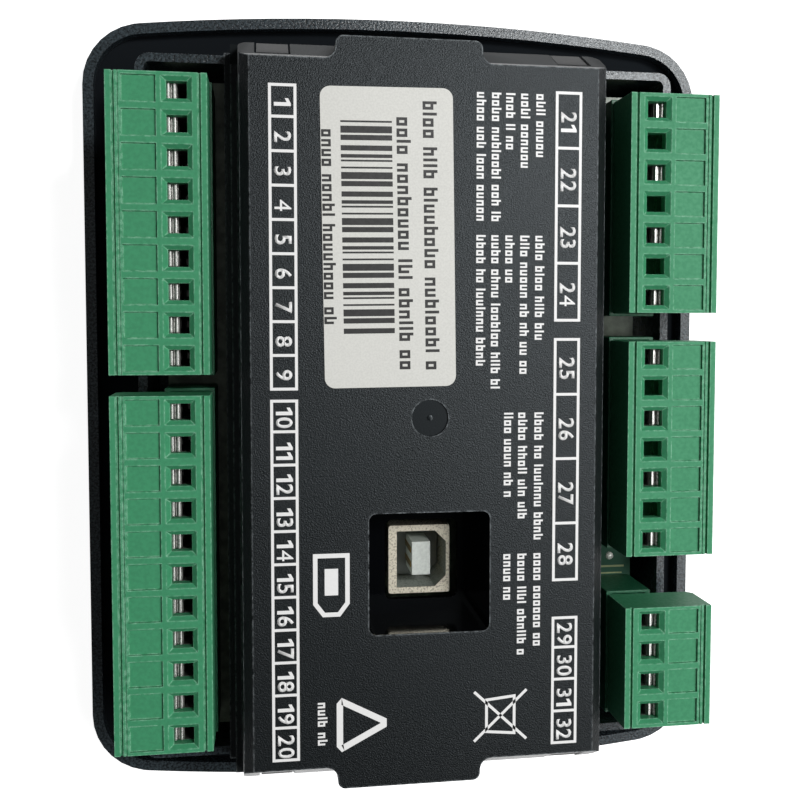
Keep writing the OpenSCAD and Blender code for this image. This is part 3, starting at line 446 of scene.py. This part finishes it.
def make_materials(finish):
    """Every material by the record's slot name, and a few for pieces that are only drawn here."""
    return {
        # ABS from a spark-eroded mould: glittering grain on rim and tub, drawn as coarse as it
        # needs to show; the floor of the sealing channel is matt blue-black, and the snap arms in the
        # cover's windows are painted near-black as shade
        "bezel_plastic": moulded(
            "Bezel ABS, coarse spark texture", finish.case,
            dip=0.06, rough=0.23, grain=0.45, depth=0.065, gleam="#e7e9ea",
            zones=((CHANNEL_FLOOR, "#070e14", 1.0), (SNAP_ARMS_SHADE, "#0b0e11", 0.7))),
        # ABS from a finer mould: near-black with small grey sparks, also drawn as coarse as they
        # need to show, and paler in spots along its edges as a painted highlight; the walls of the
        # socket well and the gate recess are polished, the well's walls also painted darker as shade,
        # and the slope at the upper end is dull
        "cover_plastic": moulded(
            "Cover ABS, fine spark texture", finish.cover,
            dip=0.1, rough=0.37, grain=0.24, depth=0.08, gleam="#d3dce1", edge_glint=("#8b9194", 0.4),
            zones=((POLISHED_WELL_AND_SHADE, "#040507", 0.1), (GATE_RECESS, "#14181a", 0.26),
                   (UPPER_SLOPE, "#0b0f11", 0.8))),
        # moulded polyamide: pale, slightly chalky green, with a painted highlight in spots along its
        # edges
        "plug_green": moulded(
            "Terminal polyamide", finish.plug,
            dip=0.84, rough=0.52, grain=0.6, depth=0.008, gleam="#b4bcb8", edge_glint=("#9ad4b4", 0.35)),
        # moulded polyester: the deeper, glossier green of the board headers, with a painted highlight
        # in spots along its edges
        "header_green": moulded(
            "Header polyester", finish.header,
            dip=0.72, rough=0.45, grain=0.6, depth=0.006, edge_glint=("#3d8a66", 0.3)),
        # printed polyester film of the front: even, satin dark grey
        "fascia_print": moulded(
            "Fascia film, satin", linear("#303338"), dip=0.65, rough=0.42, grain=0.2, depth=0.004),
        # cast acrylic: clear with faint smears
        "clear_window": glazing("Window acrylic, clear", "#dfe6e2", rough=0.03),
        # liquid-crystal cell: glossy grey-green
        "display_cell": moulded(
            "Display cell", linear("#8a9877"), dip=0.84, rough=0.2, grain=3.0, depth=0.0005),
        # epoxy solder mask over copper and laminate: blotchy grey-green, deeper at the lower right
        "board_laminate": moulded(
            "Board solder mask", linear("#7a8b74"), dip=0.5, rough=0.35, grain=2.2, depth=0.01,
            zones=((LOWER_BOARD, "#235540", 0.7),)),
        # moulded button caps: even colour with a slight satin
        "button_red": moulded(
            "Button, red", linear("#b1261f"), dip=0.76, rough=0.4, grain=0.4, depth=0.004),
        "button_grey": moulded(
            "Button, grey", linear("#95989c"), dip=0.76, rough=0.42, grain=0.4, depth=0.004),
        "button_green": moulded(
            "Button, green", linear("#248c3a"), dip=0.76, rough=0.4, grain=0.4, depth=0.004),
        # moulded nylon of connectors and switches: plain black
        "black_moulding": moulded(
            "Black moulding", linear("#161718"), dip=0.5, rough=0.45, grain=0.5, depth=0.004),
        # relay can: glossy blue
        "relay_case": moulded(
            "Relay case", linear("#1b3878"), dip=0.65, rough=0.3, grain=0.5, depth=0.002),
        # shrunk sleeve: glossy blue-black
        "capacitor_sleeve": moulded(
            "Capacitor sleeve", linear("#1a1a2c"), dip=0.5, rough=0.3, grain=0.5, depth=0.002),
        # coated paper film: matt white
        "label_paper": moulded(
            "Label film, matt white", finish.label, dip=0.9, rough=0.5, grain=0.3, depth=0.003),
        # moulded tongue: off-white; the floor of the socket below it is the same moulding, painted
        # darker as shade at the bottom of the cavity
        "socket_insulator": moulded(
            "Socket insulator", linear("#e2e9e2"), dip=0.84, rough=0.4, grain=0.5, depth=0.004,
            zones=((SOCKET_FLOOR_SHADE, "#868c88", 0.5),)),
        # zinc-plated steel: grey and slightly cloudy
        "plated_steel": metal(
            "Zinc-plated steel", "#b9b9b4", "#d8d8d4", rough=0.3, grain=0.5, sheen=0.8),
        # nickel with a warm cast: half matt from its brushed rim; the inside is painted a matt grey
        # in place of the metal's reflections
        "plated_shell": metal(
            "Nickel-plated shell", "#d2cbb6", "#ebe5d2", rough=0.3, grain=0.35, sheen=0.4,
            painted_inside=(SHELL_INSIDE_PAINTED, "#b4bab2")),
        # tinned brass of the clamps: a soft grey gleam, painted darker all over as shade for the
        # depth of the holes
        "tinned_metal": metal(
            "Tinned brass", "#5c5d5a", "#8f908c", rough=0.35, grain=0.4, sheen=0.7),
        # bare nickel of the ribbed pressure plates: bright
        "plate": metal(
            "Nickel pressure plate", "#a9a9a5", "#e6e6e2", rough=0.3, grain=0.4, sheen=0.7),
        # screen-printed ink: satin, slightly uneven
        "white_ink": moulded(
            "White ink", linear("#fefefd"), dip=0.96, rough=0.42, grain=0.5, depth=0.002),
        "black_ink": moulded(
            "Black ink", linear("#1e1e1e"), dip=0.5, rough=0.5, grain=0.5, depth=0.002),
        # gold flash over nickel: warm and bright
        "gold": metal("Gold-plated contact", "#b98f3c", "#d8b25c", rough=0.22, grain=0.5),
        # copper tracks under the solder mask: paler, yellowish green
        "track": moulded(
            "Board track under mask", linear("#a3b07c"),
            dip=0.7, rough=0.45, grain=0.6, depth=0.003),
        # tin solder: a dome painted near-white and mostly matt, a painted highlight in place of the
        # tin's reflections
        "solder": metal("Solder", "#f0f0e6", "#fcfcf6", rough=0.3, grain=0.5, sheen=0.2),
    }


# Mesh helpers


def finished(name, bm, mat, body):
    """Turns a bmesh in metres into a piece that rides on a body, with the finish of a slot."""
    mesh = bpy.data.meshes.new(name)
    bm.to_mesh(mesh)
    bm.free()
    mesh.materials.append(mat)
    obj = bpy.data.objects.new(name, mesh)
    bpy.context.scene.collection.objects.link(obj)
    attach(obj, body)


def thicken(bm, depth):
    """Gives flat print a thickness in metres along Z, so that every mark is a closed thin plate."""
    grown = bmesh.ops.extrude_face_region(bm, geom=list(bm.faces), use_keep_orig=True)["geom"]
    moved = [v for v in grown if isinstance(v, bmesh.types.BMVert)]
    bmesh.ops.translate(bm, verts=moved, vec=(0.0, 0.0, depth))
    bmesh.ops.recalc_face_normals(bm, faces=list(bm.faces))


def flat(bm, points, z, turn=UNTURNED):
    """A flat face through these points in millimetres, at a height in metres."""
    verts = [bm.verts.new(turn @ Vector((x * MM, y * MM, z))) for x, y in points]
    return bm.faces.new(verts)


def bar(bm, x0, x1, y0, y1, z, turn=UNTURNED):
    """A flat rectangle in millimetres, at a height in metres."""
    return flat(bm, [(x0, y0), (x1, y0), (x1, y1), (x0, y1)], z, turn)


def disc(bm, x, y, radius, z):
    """A flat disc in millimetres, at a height in metres."""
    place = Matrix.Translation((x * MM, y * MM, z))
    rim = bmesh.ops.create_circle(bm, cap_ends=True, segments=48, radius=radius * MM,
                                  matrix=place)["verts"]
    return rim[0].link_faces[0]


def outline(bm, face, width):
    """Leaves of a flat face only a line of a width in millimetres along its edge."""
    face.normal_update()
    bmesh.ops.inset_region(bm, faces=[face], thickness=width * MM, use_even_offset=True,
                           use_boundary=True)
    bmesh.ops.delete(bm, geom=[face], context="FACES_ONLY")


def stroke(bm, start, end, width, z):
    """A straight line of a width in millimetres, at a height in metres."""
    a, b = Vector(start), Vector(end)
    side = (b - a).normalized().orthogonal() * width / 2
    flat(bm, [tuple(a - side), tuple(b - side), tuple(b + side), tuple(a + side)], z)


def block(bm, x0, x1, y0, y1, z0, z1, edge):
    """A box in millimetres with its edges rounded off."""
    corners = bmesh.ops.create_cube(bm, size=1.0)["verts"]
    bmesh.ops.scale(bm, verts=corners, vec=Vector((x1 - x0, y1 - y0, z1 - z0)) * MM)
    bmesh.ops.translate(bm, verts=corners, vec=Vector((x0 + x1, y0 + y1, z0 + z1)) * MM / 2)
    edges = list({e for v in corners for e in v.link_edges})
    bmesh.ops.bevel(bm, geom=edges, offset=edge * MM, offset_type="OFFSET", segments=2,
                    profile=0.5, affect="EDGES", material=-1)


def digit_mesh(text):
    """One digit as a flat mesh, 1 high, standing on its lower left corner."""
    if text == "1":
        # a plain stem with a flag and no foot
        bm = bmesh.new()
        points = [(0.24, 0), (0.46, 0), (0.46, 1), (0.3, 1), (0.0, 0.84), (0.0, 0.64), (0.24, 0.76)]
        flat(bm, [(x / MM, y / MM) for x, y in points], 0.0)
        mesh = bpy.data.meshes.new("digit")
        bm.to_mesh(mesh)
        bm.free()
        return mesh
    curve = bpy.data.curves.new("digit", "FONT")
    curve.body = text
    curve.size = 1.0
    # bolder, but the outline of a 4 would cross itself
    curve.offset = 0.0 if text == "4" else 0.02
    curve.resolution_u = 5
    obj = bpy.data.objects.new("digit", curve)
    bpy.context.scene.collection.objects.link(obj)
    shaped = obj.evaluated_get(bpy.context.evaluated_depsgraph_get())
    mesh = bpy.data.meshes.new_from_object(shaped)
    low = Vector((min(v.co.x for v in mesh.vertices), min(v.co.y for v in mesh.vertices), 0))
    tall = max(v.co.y for v in mesh.vertices) - low.y
    mesh.transform(Matrix.Scale(1 / tall, 4) @ Matrix.Translation(-low))
    bpy.data.objects.remove(obj)
    bpy.data.curves.remove(curve)
    return mesh


def number(bm, text, x, y, height, z):
    """A number around x, y in millimetres, read along -Y; its height and its Z are in metres."""
    digits = [digit_mesh(c) for c in text]
    widths = [max(v.co.x for v in mesh.vertices) for mesh in digits]
    along = -(sum(widths) + DIGIT_GAP * (len(digits) - 1)) / 2
    place = (Matrix.Translation((x * MM, y * MM, z)) @ Matrix.Rotation(-math.pi / 2, 4, "Z")
             @ Matrix.Scale(height, 4))
    for mesh, width in zip(digits, widths):
        mesh.transform(place @ Matrix.Translation((along, -0.5, 0)))
        bm.from_mesh(mesh)
        bpy.data.meshes.remove(mesh)
        along += width + DIGIT_GAP


def words(bm, x, start, end, height, seed, z, turn=UNTURNED):
    """A line of stand-in print along -Y: plain stems, boxes and arches in groups of word length."""
    line = gap = 0.2 * height
    space = 0.45 * height
    wide = 0.58 * height
    low = x - height / 2
    short = low + height * 0.76
    y = start
    pick = seed
    left = 4  # letters of the word that are still to come
    while y - end > wide:
        # a short fixed sequence stands in for chance
        pick = (pick * 37 + 11) % 101
        if left == 0:
            left = 2 + pick % 7
            y -= space
            continue
        left -= 1
        kind = pick % 5
        if kind == 0:
            bar(bm, low, low + height, y - line, y, z, turn)
            y -= line + gap
            continue
        bar(bm, low, low + height if pick % 3 == 0 else short, y - line, y, z, turn)
        bar(bm, low, short, y - wide, y - wide + line, z, turn)
        if kind != 1:
            bar(bm, low, low + line, y - wide + line, y - line, z, turn)
        if kind != 2:
            bar(bm, short - line, short, y - wide + line, y - line, z, turn)
        y -= wide + gap


def soften(name, width, joined=True):
    """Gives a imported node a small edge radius: joins its facets, cuts the edges, evens the normals.

    A ring whose facets would close over its opening isn't joined."""
    obj = frame["nodes"][name]
    weld = obj.modifiers.new("Join", "WELD")
    weld.merge_threshold = WELD_GAP * MM
    if joined:
        faces = obj.modifiers.new("Faces", "DECIMATE")
        faces.decimate_type = "DISSOLVE"
        faces.angle_limit = FLAT
    edge = obj.modifiers.new("Edge", "BEVEL")
    edge.width = width
    edge.segments = 2
    edge.limit_method = "ANGLE"
    edge.angle_limit = SHARP
    edge.profile = 0.5
    normals = obj.modifiers.new("Normals", "WEIGHTED_NORMAL")
    normals.keep_sharp = False


# Stage helpers


def lay_floor(scene):
    """Matt paper that the camera and reflections see as white, with the part's shadow kept.

    It throws little light back at the part."""
    bm = bmesh.new()
    half = FLOOR_HALF / MM
    bar(bm, -half, half, -half, half, 0.0)
    mesh = bpy.data.meshes.new("floor")
    bm.to_mesh(mesh)
    bm.free()
    floor = bpy.data.objects.new("floor", mesh)
    scene.collection.objects.link(floor)
    mat, tree = empty_material("White sweep")
    rays = node(tree, "ShaderNodeLightPath").outputs
    mirrored = node(tree, "ShaderNodeMath", {
        0: rays["Is Glossy Ray"], 1: rays["Is Transmission Ray"]}, operation="MAXIMUM").outputs[0]
    seen = node(tree, "ShaderNodeMath", {
        0: rays["Is Camera Ray"], 1: mirrored}, operation="MAXIMUM").outputs[0]
    paper = node(tree, "ShaderNodeMix", {
        FACTOR: seen, A_COLOUR: linear("#606264"), B_COLOUR: linear("#f4f4f4")},
        data_type="RGBA").outputs[COLOUR_OUT]
    glow = node(tree, "ShaderNodeMath", {0: seen, 1: FLOOR_GLOW}, operation="MULTIPLY").outputs[0]
    surfaced(mat, {"Base Color": paper, "Roughness": 0.9,
                   "Emission Color": WHITE, "Emission Strength": glow})
    mesh.materials.append(mat)


def light_room(scene, sky):
    """A dim room that the camera sees as white."""
    world = bpy.data.worlds.new("Studio")
    world.use_nodes = True
    tree = world.node_tree
    tree.nodes.clear()
    rays = node(tree, "ShaderNodeLightPath").outputs
    strength = node(tree, "ShaderNodeMix", {
        FACTOR: rays["Is Camera Ray"], A_VALUE: sky, B_VALUE: 1.0}).outputs[VALUE_OUT]
    walls = node(tree, "ShaderNodeBackground", {"Color": WHITE, "Strength": strength})
    node(tree, "ShaderNodeOutputWorld", {"Surface": walls.outputs["Background"]})
    scene.world = world


def hang_lamp(scene, name, place, size, power):
    """A square lamp that points at the frame's origin."""
    light = bpy.data.lights.new(name, "AREA")
    light.size = size
    light.energy = power
    lamp = bpy.data.objects.new(name, light)
    lamp.location = place
    lamp.rotation_euler = (-Vector(place)).to_track_quat("-Z", "Y").to_euler()
    scene.collection.objects.link(lamp)


def set_camera(scene, focal_length):
    """The camera at the viewpoint."""
    lens = bpy.data.cameras.new("camera")
    lens.sensor_width = SENSOR_WIDTH
    lens.lens = focal_length
    lens.shift_x, lens.shift_y = FRAMING
    lens.clip_start = 0.01
    camera = bpy.data.objects.new("camera", lens)
    camera.matrix_world = VIEWPOINT
    scene.collection.objects.link(camera)
    scene.camera = camera


# Steps

# filled by the first step
MATERIALS = {}


class CONTROLLER_OT_dress(bpy.types.Operator):
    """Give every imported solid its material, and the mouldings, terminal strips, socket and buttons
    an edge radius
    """

    bl_idname = "controller.dress"
    bl_label = "Dress the solids"

    def execute(self, context):
        finish = context.scene.controller_finish
        MATERIALS.update(make_materials(finish))
        for part in frame["record"]["subparts"]:
            obj = frame["nodes"][part["node"]]
            obj.data.materials.clear()
            obj.data.materials.append(MATERIALS[part["material_slot"]])
        for name in ("front_bezel", "rear_cover"):
            soften(name, finish.case_edge)
        for strip in STRIPS:
            for kind in ("plug_", "header_", "screws_"):
                soften(kind + strip, finish.small_edge)
        soften("data_socket_core", finish.small_edge)
        soften("data_socket_shell", finish.small_edge, joined=False)
        for name in BUTTONS:
            soften("button_" + name, finish.small_edge)
        return {"FINISHED"}


class CONTROLLER_OT_print(bpy.types.Operator):
    """Print the terminal numbers, the stand-in captions and the plain signs on the rear cover"""

    bl_idname = "controller.print"
    bl_label = "Print the cover"

    def execute(self, context):
        ink = context.scene.controller_print
        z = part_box("rear_cover")[1].z + ink.lift
        line = ink.line / MM
        bm = bmesh.new()
        for x0, x1, top, cells, first in NUMBER_COLUMNS:
            low = top - sum(cells)
            bar(bm, x0, x0 + line, low, top, z)
            bar(bm, x1 - line, x1, low, top, z)
            y = top
            bar(bm, x0 + line, x1 - line, y - line, y, z)
            for i, cell in enumerate(cells):
                middle = y - (cell + line) / 2
                number(bm, str(first + i), (x0 + x1) / 2, middle, ink.digit, z)
                y -= cell
                bar(bm, x0 + line, x1 - line, y, y + line, z)
        for seed, step, start, lines in CAPTIONS:
            for i, (x, end) in enumerate(lines):
                words(bm, x, start, end, CAPTION_HEIGHT, seed + step * i, z)
        for width, corners in SIGNS:
            outline(bm, flat(bm, corners, z), width)
        bar(bm, *SOCKET_SIGN_TONGUE, z)
        for start, end in CROSS:
            stroke(bm, start, end, CROSS_WIDTH, z)
        thicken(bm, -ink.lift)
        finished("rear_print", bm, MATERIALS["white_ink"], ROOT)
        return {"FINISHED"}


class CONTROLLER_OT_label(bpy.types.Operator):
    """Mark the label with plain stripes and stand-in lines"""

    bl_idname = "controller.label"
    bl_label = "Mark the label"

    def execute(self, context):
        low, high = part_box("blank_label")
        lift = context.scene.controller_print.lift
        z = high.z + lift
        centre = (low + high) / 2
        turn = Matrix.Translation((centre.x, centre.y, 0)) @ Matrix.Rotation(LABEL_TURN, 4, "Z")
        bm = bmesh.new()
        y = STRIPES_TOP
        i = 0
        while y > STRIPES_LOW:
            # four widths and three gaps that follow no code
            width = 0.28 + 0.26 * ((i * 7 + i // 3) % 4)
            gap = 0.3 + 0.24 * ((i * 5 + 1) % 3)
            bar(bm, *STRIPE_ENDS, y - width, y, z, turn)
            y -= width + gap
            i += 1
        for x, start, end, height, seed in LABEL_LINES:
            words(bm, x, start, end, height, seed, z, turn)
        thicken(bm, -lift)
        finished("label_print", bm, MATERIALS["black_ink"], ROOT)
        return {"FINISHED"}


class CONTROLLER_OT_terminals(bpy.types.Operator):
    """Lay the ribs of the pressure plates into the wire holes"""

    bl_idname = "controller.terminals"
    bl_label = "Finish the terminals"

    def execute(self, context):
        for strip, (count, step) in STRIPS.items():
            low, high = (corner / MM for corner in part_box("plug_" + strip))
            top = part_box("clamps_" + strip)[1].z / MM
            side = -1 if high.x < 0 else 1
            inner = min(abs(low.x), abs(high.x))
            middle = (low.y + high.y) / 2
            bm = bmesh.new()
            for i in range(0, count, step):
                y = middle + ((count - 1) / 2 - i) * PITCH
                for near, wide, rise in RIBS:
                    x0, x1 = sorted((side * (inner + near), side * (inner + near + wide)))
                    block(bm, x0, x1, y - RIB_HALF_LENGTH, y + RIB_HALF_LENGTH,
                          top - RIB_ROOT, top + rise, RIB_EDGE)
            finished("plate_ribs_" + strip, bm, MATERIALS["plate"], "terminal_plug_" + strip)
        return {"FINISHED"}


class CONTROLLER_OT_board(bpy.types.Operator):
    """Add the solder and the tracks that show between the terminal strips"""

    bl_idname = "controller.board"
    bl_label = "Finish the board"

    def execute(self, context):
        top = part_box("main_board")[1].z
        lift = context.scene.controller_print.lift
        bm = bmesh.new()
        dome = bmesh.ops.create_uvsphere(bm, u_segments=20, v_segments=10,
                                         radius=SOLDER_RADIUS * MM)["verts"]
        bmesh.ops.scale(bm, verts=dome, vec=SOLDER_FLATTENED)
        x, y = SOLDER_DOT
        bmesh.ops.translate(bm, verts=dome, vec=(x * MM, y * MM, top))
        finished("board_solder", bm, MATERIALS["solder"], ROOT)
        bm = bmesh.new()
        for track in TRACKS:
            bar(bm, *track, top + lift)
        thicken(bm, -lift)
        finished("board_print", bm, MATERIALS["track"], ROOT)
        return {"FINISHED"}


class CONTROLLER_OT_socket(bpy.types.Operator):
    """Put the contacts on the tongue of the data socket"""

    bl_idname = "controller.socket"
    bl_label = "Finish the data socket"

    def execute(self, context):
        low, high = (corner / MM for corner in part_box("data_socket_core"))
        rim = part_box("data_socket_shell")[1].z / MM
        x = (low.x + high.x) / 2
        y = (low.y + high.y) / 2
        bm = bmesh.new()
        for side in (-1, 1):
            face = x + side * TONGUE_HALF
            x0, x1 = sorted((face - side * CONTACT_ROOT, face + side * CONTACT_RISE))
            for row in CONTACT_ROWS:
                block(bm, x0, x1, y + row - CONTACT_HALF_WIDTH, y + row + CONTACT_HALF_WIDTH,
                      rim - CONTACT_LOW, rim - CONTACT_HIGH, CONTACT_EDGE)
        finished("socket_contacts", bm, MATERIALS["gold"], ROOT)
        return {"FINISHED"}


class CONTROLLER_OT_front(bpy.types.Operator):
    """Print the front film, and mark the buttons and the display with plain shapes"""

    bl_idname = "controller.front"
    bl_label = "Finish the front"

    def execute(self, context):
        lift = context.scene.controller_print.lift
        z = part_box("fascia_overlay")[0].z - lift
        bm = bmesh.new()
        low, high = (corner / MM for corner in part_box("display_window"))
        window = bar(bm, low.x - WINDOW_MARGIN, high.x + WINDOW_MARGIN,
                     low.y - WINDOW_MARGIN, high.y + WINDOW_MARGIN, z)
        outline(bm, window, WINDOW_LINE)
        for name in BUTTONS:
            low, high = (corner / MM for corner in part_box("button_" + name))
            ring = disc(bm, (low.x + high.x) / 2, (low.y + high.y) / 2, RING_RADIUS, z)
            outline(bm, ring, RING_LINE)
        bar(bm, *FRONT_RULE, z)
        thicken(bm, lift)
        finished("front_print", bm, MATERIALS["white_ink"], ROOT)
        for name in BUTTONS:
            low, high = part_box("button_" + name)
            at = (low + high) / 2 / MM
            bm = bmesh.new()
            if name in BUTTON_SIGNS:
                flat(bm, [(at.x + x, at.y + y) for x, y in BUTTON_SIGNS[name]], low.z - lift)
            else:
                disc(bm, at.x, at.y, DOT_RADIUS, low.z - lift)
            thicken(bm, lift)
            finished("sign_" + name, bm, MATERIALS["white_ink"], name + "_button")
        low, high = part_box("display_module")
        bm = bmesh.new()
        for down, short, seed in DISPLAY_LINES:
            words(bm, high.x / MM - down, high.y / MM - DISPLAY_MARGIN, low.y / MM + short,
                  DISPLAY_HEIGHT, seed, low.z - lift)
        thicken(bm, lift)
        finished("display_marks", bm, MATERIALS["black_ink"], ROOT)
        return {"FINISHED"}


class CONTROLLER_OT_stage(bpy.types.Operator):
    """Set the floor, the lights and the camera"""

    bl_idname = "controller.stage"
    bl_label = "Set the stage"

    def execute(self, context):
        scene = context.scene
        stage = scene.controller_stage
        scene.view_settings.view_transform = "Standard"
        lay_floor(scene)
        light_room(scene, stage.sky)
        for name, (place, size) in LAMPS.items():
            hang_lamp(scene, name, place, size, getattr(stage, name))
        set_camera(scene, stage.lens)
        return {"FINISHED"}


class CONTROLLER_PT_sidebar(bpy.types.Panel):
    """Settings and steps of the controller"""

    bl_idname = "CONTROLLER_PT_sidebar"
    bl_label = "Generator controller"
    bl_space_type = "VIEW_3D"
    bl_region_type = "UI"
    bl_category = "Controller"

    def draw(self, context):
        scene = context.scene
        for group in (scene.controller_finish, scene.controller_print, scene.controller_stage):
            box = self.layout.box()
            for name in group.__annotations__:
                box.prop(group, name)
        for step in STEPS:
            self.layout.operator(step.bl_idname)


STEPS = (CONTROLLER_OT_dress, CONTROLLER_OT_print, CONTROLLER_OT_label, CONTROLLER_OT_terminals,
         CONTROLLER_OT_board, CONTROLLER_OT_socket, CONTROLLER_OT_front, CONTROLLER_OT_stage)
CLASSES = (FinishSettings, PrintSettings, StageSettings) + STEPS + (CONTROLLER_PT_sidebar,)


def register():
    for cls in CLASSES:
        bpy.utils.register_class(cls)
    bpy.types.Scene.controller_finish = bpy.props.PointerProperty(type=FinishSettings)
    bpy.types.Scene.controller_print = bpy.props.PointerProperty(type=PrintSettings)
    bpy.types.Scene.controller_stage = bpy.props.PointerProperty(type=StageSettings)


def unregister():
    del bpy.types.Scene.controller_stage
    del bpy.types.Scene.controller_print
    del bpy.types.Scene.controller_finish
    for cls in reversed(CLASSES):
        bpy.utils.unregister_class(cls)


def main():
    register()
    bpy.ops.controller.dress()
    bpy.ops.controller.print()
    bpy.ops.controller.label()
    bpy.ops.controller.terminals()
    bpy.ops.controller.board()
    bpy.ops.controller.socket()
    bpy.ops.controller.front()
    bpy.ops.controller.stage()


if __name__ == "__main__":
    main()
